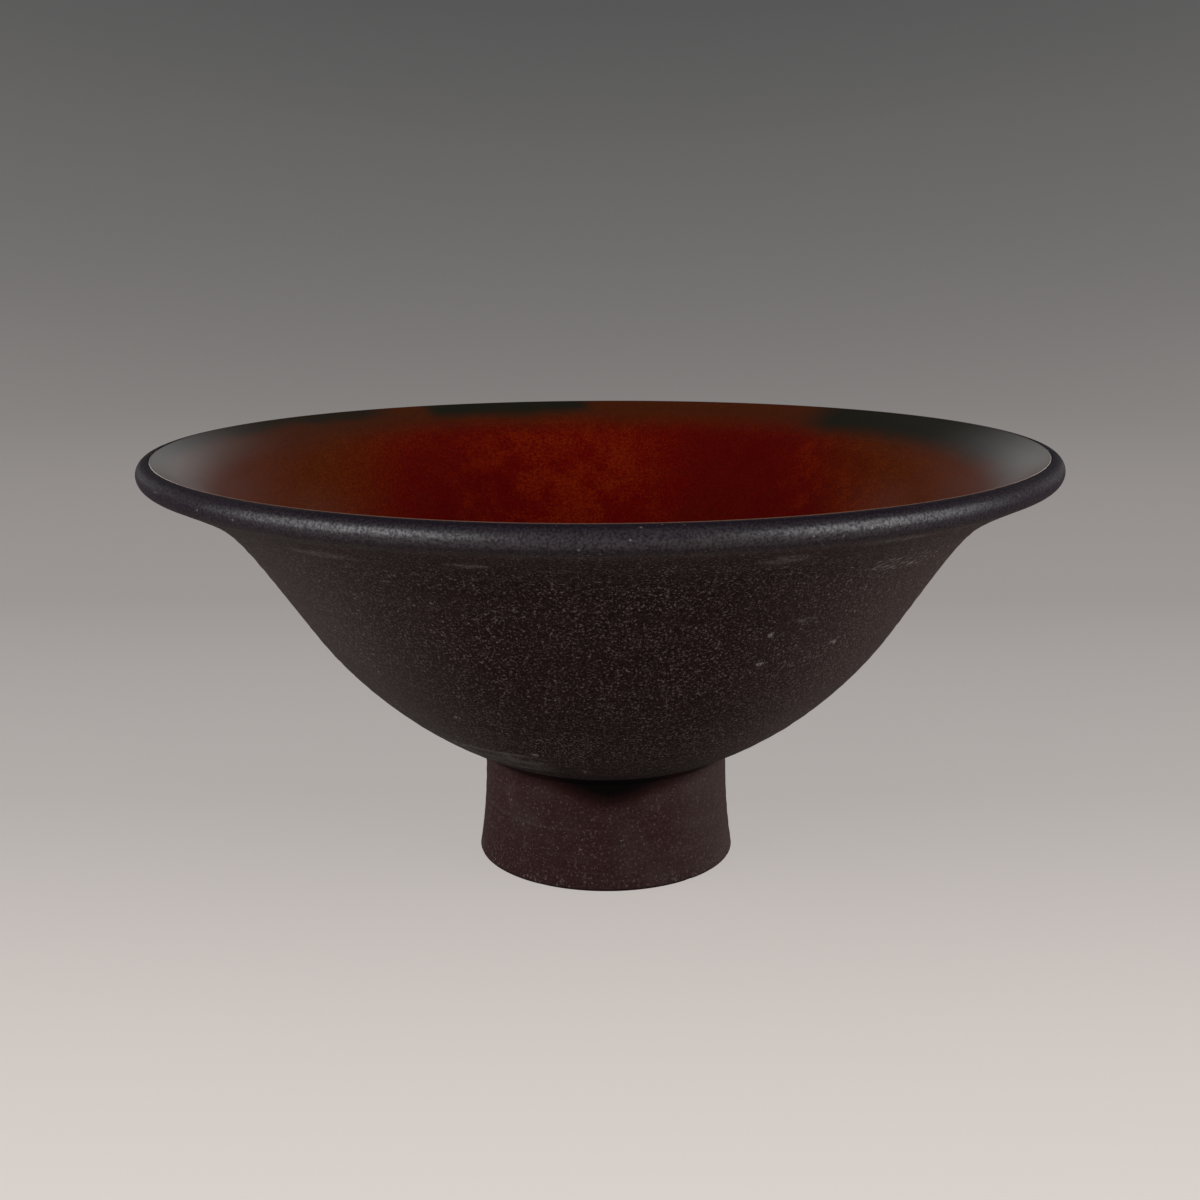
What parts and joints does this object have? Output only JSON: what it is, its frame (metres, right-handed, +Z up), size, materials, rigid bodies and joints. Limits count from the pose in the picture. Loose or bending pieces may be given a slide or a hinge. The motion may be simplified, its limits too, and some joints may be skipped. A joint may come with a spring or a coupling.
{
  "type": "footed bowl",
  "caption": "Wide stoneware bowl with an ogee wall, a rolled rim and a glazed inside, luted onto a low flared foot ring.",
  "frame": {"origin": "middle of the foot's resting face, on the table", "axes": "+Z up along the axis that every piece is turned about; +X and +Y are alike"},
  "size_m": [0.26, 0.26, 0.123],
  "materials": {
    "stoneware": "bare brown-black stoneware, matte, with a fine sandy grain and faint throwing lines",
    "foot_stoneware": "bare brown-black stoneware, turned, a little browner and finer than the wall",
    "slip": "fired slip, matte grey-brown",
    "glaze": "satin iron-red glaze, mottled with orange-brown flecks, darker and grey-green towards the rim"
  },
  "bodies": {
    "root": {"bowl_body": "stoneware", "foot_ring": "foot_stoneware", "luting_slip": "slip", "glaze_lining": "glaze"}
  },
  "joints": []
}
